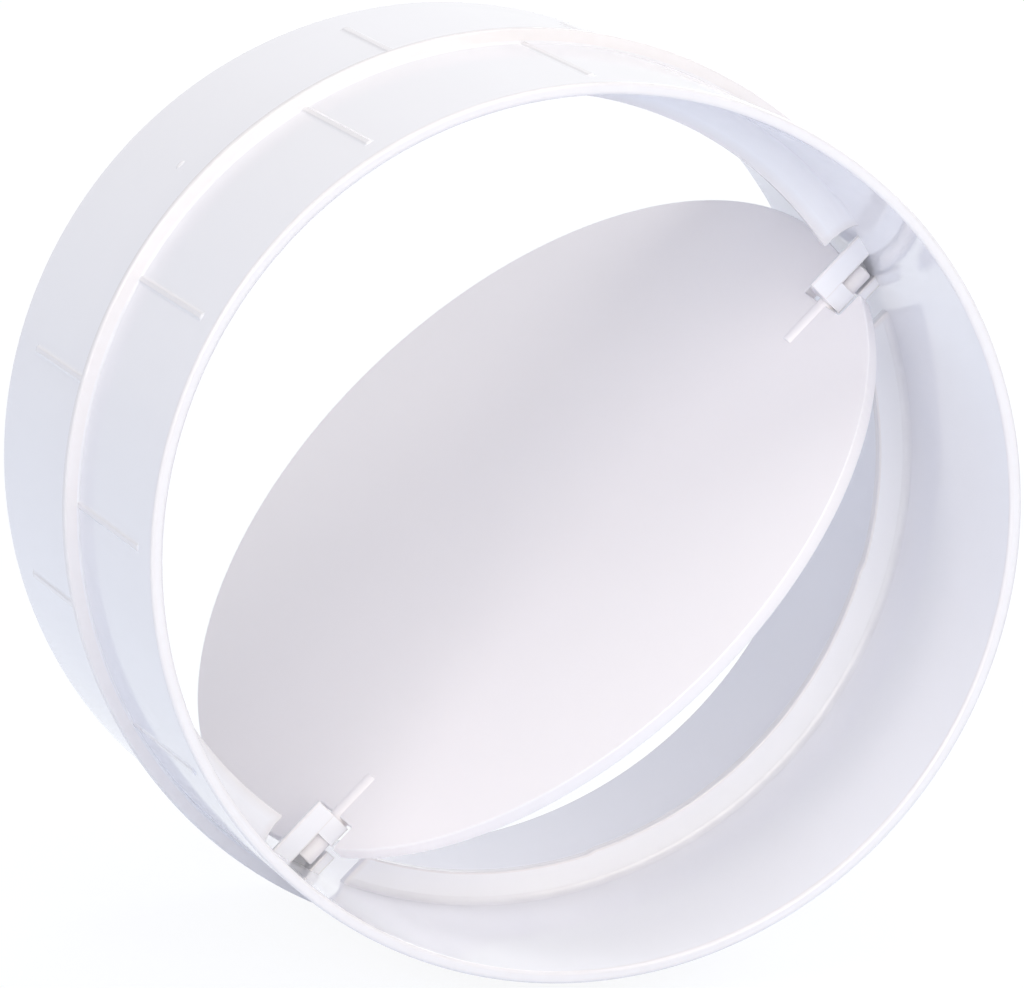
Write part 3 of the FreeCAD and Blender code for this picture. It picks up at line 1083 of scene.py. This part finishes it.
    def brackets(self) -> list[Patch]:
        """Both brackets: arm beside the pin, hook over it, finger and pocket floor under it, guard beyond.

        Returns:
            The closed patches of both.
        """
        x, z = DUCT.hinge_offset, DUCT.hinge_height
        left, right = x - self.arm_side, x - self.bearing - self.arm_gap
        low, high = z - self.arm_bottom, z + self.arm_top
        arm = np.concatenate([rectangle(left, right, low, high), [[left, high - self.arm_edge]]])
        arm[0, 0] += self.arm_undercut
        nose = x + self.hook_side
        drop = math.sqrt(self.bearing**2 - self.hook_side**2)
        lip = math.degrees(math.atan2(drop, self.hook_side))
        under = z - self.finger_drop
        finger_left = x - self.finger_side
        saddle = arc((x, z), self.bearing, 180.0, lip, self.saddle_steps)
        top = high - self.joint_step
        hook = [[nose, top], [right - self.joint_overlap, top], [right - self.joint_overlap, z]]
        cradle = arc((x, z), self.bearing, 360.0 - lip, 180.0, self.saddle_steps)
        finger = [[finger_left, z], [finger_left, under], [nose, under]]
        guard_left, guard_top = x + self.guard_side, z - self.guard_drop
        guard_low = guard_top - self.guard_height
        guard = rectangle(guard_left, guard_left + self.guard_wall, guard_low, guard_top)
        floor_left, floor_right = right - self.joint_overlap, guard_left + self.joint_overlap
        pocket = rectangle(floor_left, floor_right, guard_low, z - self.pocket_top)
        blocks = [
            self.lengthwise(arm, self.bracket_in, self.arm_root),
            self.lengthwise(pocket, self.guard_in + self.joint_step, self.pocket_root),
            self.saddle_block(saddle, hook, self.bracket_in + self.joint_step, self.hook_out),
            self.saddle_block(cradle, finger, self.finger_in, self.finger_out),
            self.lengthwise(guard, self.guard_in, self.guard_root),
        ]
        return blocks + [block.mirrored() for block in blocks]

    def saddle_block(self, saddle: np.ndarray, corners: list[list[float]], start: float, end: float) -> Patch:
        """A block with a round saddle in its outline, carried along the hinge line, with small end rounds.

        Args:
            saddle: points of the saddle's arc in the (x, z) plane.
            corners: the block's other corners, on from the saddle's last point, anticlockwise with it.
            start: first y.
            end: last y.

        Returns:
            The closed patch, with its points as (x, y, z).
        """
        chain = np.concatenate([saddle[-2:], np.array(corners), saddle[:2]])
        radii = np.full(len(chain) - 2, self.block_round)
        radii[[0, -1]] = self.saddle_lip
        rounded, mask = rounded_chain(chain, radii, margin=self.saddle_margin)
        outline = np.concatenate([saddle[1:-1], rounded])
        edges = np.concatenate([np.zeros(len(saddle) - 2), mask])
        return prism(outline, edges, start, end, self.saddle_lip / 2.0, self.saddle_lip / 2.0).laid()

    def build(self) -> bpy.types.Object:
        """Builds the moulding as one object that stands for the CAD housing.

        Returns:
            The piece.
        """
        patches = [self.shell(), self.gate_nib(), self.seat_web(), self.stop_web(), *self.brackets()]
        placed = [patch.moved(DUCT.to_row(patch.points)) for patch in patches]
        piece = make_object("housing_moulding", placed)
        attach(piece, Body.HOUSING.value)
        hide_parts("housing")
        return piece

    def dress(self, piece: bpy.types.Object, groups: PlasticGroups) -> None:
        """Gives the moulding its glossy finish."""
        piece.data.materials.append(GLOSS_WHITE.make(groups))


@dataclass
class Flap:
    """The flap moulding in millimetres: disc with two notches and hinge pins rooted in its face."""

    radius: float = 69.3
    thickness: float = 2.5
    edge_round: float = 0.28
    notch_half_width: float = 6.15
    notch_in: float = 59.19
    notch_round: float = 0.5
    pin_radius: float = 1.8
    pin_in: float = 50.49
    pin_out: float = 68.29
    pin_round: float = 0.3
    pin_root_round: float = 0.12
    notch_lead: float = 2.0
    notch_clear: float = 1.0
    arc_counts: tuple[int, int] = (110, 160)
    pin_columns: int = 40

    def outline(self) -> np.ndarray:
        """The disc's outline with both notches, anticlockwise from the short side's middle.

        Returns:
            Closed plane points about the disc's middle.
        """
        radius, middle = self.radius, (0.0, 0.0)
        low, high = DUCT.hinge_offset - self.notch_half_width, DUCT.hinge_offset + self.notch_half_width
        right, left = math.acos(high / radius), math.acos(low / radius)
        lead = self.notch_lead / radius
        corners = [
            [radius * math.cos(right - lead), radius * math.sin(right - lead)],
            [high, radius * math.sin(right)],
            [high, self.notch_in],
            [low, self.notch_in],
            [low, radius * math.sin(left)],
            [radius * math.cos(left + lead), radius * math.sin(left + lead)],
        ]
        notch = rounded_chain(np.array(corners), self.notch_round)[0]
        short_side = arc(middle, radius, 0.0, math.degrees(right) - self.notch_clear, self.arc_counts[0])
        long_side = arc(middle, radius, math.degrees(left) + self.notch_clear, 180.0, self.arc_counts[1])
        half = np.concatenate([short_side, notch, long_side])
        return np.concatenate([half, half[1:-1][::-1] * np.array([1.0, -1.0])])

    def blade(self) -> Patch:
        """The notched disc with rounded edges, carried through its thickness."""
        half = self.thickness / 2.0
        return prism(self.outline(), 0.0, -half, half, self.edge_round, self.edge_round)

    def pin(self) -> Patch:
        """A hinge pin: a circle carried along the hinge line from its root in the disc to its rounded end."""
        circle = arc((DUCT.hinge_offset, 0.0), self.pin_radius, 0.0, 360.0, self.pin_columns + 1)[:-1]
        return prism(circle, 0.0, self.pin_in, self.pin_out, self.pin_root_round, self.pin_round).laid()

    def build(self) -> bpy.types.Object:
        """Builds the moulding as one object that stands for the CAD flap.

        Returns:
            The piece.
        """
        pin = self.pin()
        patches = [self.blade(), pin, pin.mirrored()]
        placed = [patch.moved(DUCT.to_row(DUCT.opened(patch.points))) for patch in patches]
        piece = make_object("flap_moulding", placed)
        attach(piece, Body.FLAP.value)
        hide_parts("flap")
        return piece

    def dress(self, piece: bpy.types.Object, groups: PlasticGroups) -> None:
        """Gives the moulding its satin finish."""
        piece.data.materials.append(SATIN_WHITE.make(groups))


@dataclass(frozen=True)
class Softbox:
    """A large soft lamp that faces the part."""

    name: str
    place: Triple
    size: float
    power: float
    colour: Triple
    aim: Triple = (0.0, -0.04, 0.0)

    def build(self) -> bpy.types.Object:
        """Makes the lamp, its back turned away from the part's middle.

        Returns:
            The lamp's object.
        """
        lamp = bpy.data.lights.new(self.name, "AREA")
        lamp.shape = "DISK"
        lamp.size = self.size
        lamp.energy = self.power
        lamp.color = self.colour
        holder = linked(self.name, lamp)
        place = np.array(self.place)
        holder.matrix_world = look_frame(place - np.array(self.aim), place)
        return holder


def look_frame(back: np.ndarray, place: np.ndarray) -> Matrix:
    """The matrix of a lamp or camera at a place whose own z axis points along back and whose x axis is level.

    Args:
        back: direction of the local z axis.
        place: position.

    Returns:
        The world matrix.
    """
    z = back / np.linalg.norm(back)
    x = np.cross([0.0, 0.0, 1.0], z)
    x = x / np.linalg.norm(x)
    y = np.cross(z, x)
    matrix = np.eye(4)
    matrix[:3, :3] = np.stack([x, y, z], axis=1)
    matrix[:3, 3] = place
    return Matrix(matrix.tolist())


@dataclass(frozen=True)
class PhotoCamera:
    """The photograph's view, worked out from both rims and the hinge line.

    The angles are the duct axis's tilt from the line of sight, its lean in the picture and the hinge's spin.
    """

    focal_px: float = 8721.6
    width_px: float = 1024.0
    height_px: float = 988.0
    sensor_mm: float = 36.0
    tilt: float = math.radians(21.815)
    lean: float = math.radians(31.903)
    spin: float = math.radians(12.62)
    rim_px: tuple[float, float] = (593.5, 537.6)
    rim_depth: float = 1.41185
    rim_height: float = 90.0
    clip_start: float = 0.05
    clip_end: float = 60.0

    def build(self) -> bpy.types.Object:
        """Makes the camera and sets it as the scene's.

        Returns:
            The camera's object.
        """
        lean = np.array([math.cos(self.lean), math.sin(self.lean), 0.0])
        axis = math.sin(self.tilt) * lean - math.cos(self.tilt) * np.array([0.0, 0.0, 1.0])
        fall = lean - axis * (lean @ axis)
        fall = fall / np.linalg.norm(fall)
        side = np.cross(axis, fall)
        hinge = side * math.cos(self.spin) + fall * math.sin(self.spin)
        across = -side * math.sin(self.spin) + fall * math.cos(self.spin)
        turn = np.stack([across, hinge, axis], axis=1) @ DUCT.axes()
        right, down = self.rim_px[0] - self.width_px / 2.0, self.rim_px[1] - self.height_px / 2.0
        middle = np.array([right, down, self.focal_px]) * self.rim_depth / self.focal_px
        rim = DUCT.to_row(np.array([[0.0, 0.0, self.rim_height]]))[0]
        matrix = np.eye(4)
        matrix[:3, :3] = turn.T * np.array([1.0, -1.0, -1.0])[None]
        matrix[:3, 3] = rim - turn.T @ middle
        lens = bpy.data.cameras.new("photo_camera")
        lens.sensor_fit = "HORIZONTAL"
        lens.sensor_width = self.sensor_mm
        lens.lens = self.focal_px / self.width_px * self.sensor_mm
        lens.clip_start = self.clip_start
        lens.clip_end = self.clip_end
        camera = linked("photo_camera", lens)
        camera.matrix_world = Matrix(matrix.tolist())
        bpy.context.scene.camera = camera
        return camera


@dataclass
class Studio:
    """The plain pale floor, the soft light and the camera."""

    floor_height: float = -0.0772
    floor_reach: float = 12.0
    floor_tone: Colour = (0.75, 0.83, 0.97, 1.0)
    floor_lift: float = 0.86
    floor_glow: float = 1.06
    sky_light: float = 0.435
    sky_tone: Colour = (0.945, 0.94, 1.0, 1.0)
    lamps: tuple[Softbox, ...] = (
        Softbox("side_softbox", place=(-1.24, -1.06, 0.8), size=0.55, power=3.7, colour=(1.0, 0.93, 0.9)),
        Softbox("left_softbox", place=(-0.89, -1.67, 0.4), size=0.8, power=4.0, colour=(1.0, 0.94, 0.86)),
        Softbox("front_softbox", place=(-0.03, -1.95, 0.58), size=1.25, power=12.0, colour=(1.0, 0.95, 0.83)),
        Softbox("top_softbox", place=(0.0, -0.49, 1.74), size=1.2, power=8.4, colour=(1.0, 1.0, 1.0)),
        Softbox("rear_softbox", place=(1.1, 1.06, 0.92), size=1.2, power=12.4, colour=(0.94, 0.955, 1.0)),
    )

    def build_floor(self) -> bpy.types.Object:
        """A wide flat floor, white to the eye, that keeps a soft shadow.

        Returns:
            The floor's object.
        """
        reach = self.floor_reach
        corners = rectangle(-reach, reach, -reach, reach)
        points = np.concatenate([corners, np.full((4, 1), self.floor_height)], axis=1)
        mesh = bpy.data.meshes.new("floor")
        mesh.from_pydata(points.tolist(), [], [[0, 1, 2, 3]])
        floor = linked("floor", mesh)
        material = bpy.data.materials.new("pale_floor")
        material.use_nodes = True
        material.node_tree.nodes.clear()
        pen = NodePen(material.node_tree)
        plain = pen.add("ShaderNodeBsdfDiffuse")
        plain.inputs["Color"].default_value = self.floor_tone
        bright = pen.add("ShaderNodeEmission")
        bright.inputs["Strength"].default_value = self.floor_glow
        pen.show(plain, bright, self.floor_lift, "ShaderNodeOutputMaterial")
        mesh.materials.append(material)
        return floor

    def build_sky(self) -> None:
        """An even soft light from all round, white where the camera or a reflection sees it."""
        world = bpy.data.worlds.new("soft_sky")
        world.use_nodes = True
        world.node_tree.nodes.clear()
        pen = NodePen(world.node_tree)
        light = pen.add("ShaderNodeBackground")
        light.inputs["Color"].default_value = self.sky_tone
        light.inputs["Strength"].default_value = self.sky_light
        white = pen.add("ShaderNodeBackground")
        white.inputs["Color"].default_value = WHITE
        pen.show(light, white, 1.0, "ShaderNodeOutputWorld")
        bpy.context.scene.world = world

    def build(self) -> None:
        """Makes floor, sky, lamps and camera, and the plain view transform."""
        self.build_floor()
        self.build_sky()
        for lamp in self.lamps:
            lamp.build()
        PhotoCamera().build()
        bpy.context.scene.view_settings.view_transform = "Standard"


def main() -> None:
    """Builds the mouldings and the studio in order and reports each piece."""
    logging.basicConfig(level=logging.INFO, format="%(message)s")
    groups = PlasticGroups()
    for maker in (Housing(), Flap()):
        piece = maker.build()
        maker.dress(piece, groups)
        LOG.info("%s: %d points, %d faces", piece.name, len(piece.data.vertices), len(piece.data.polygons))
    Studio().build()


if __name__ == "__main__":
    main()
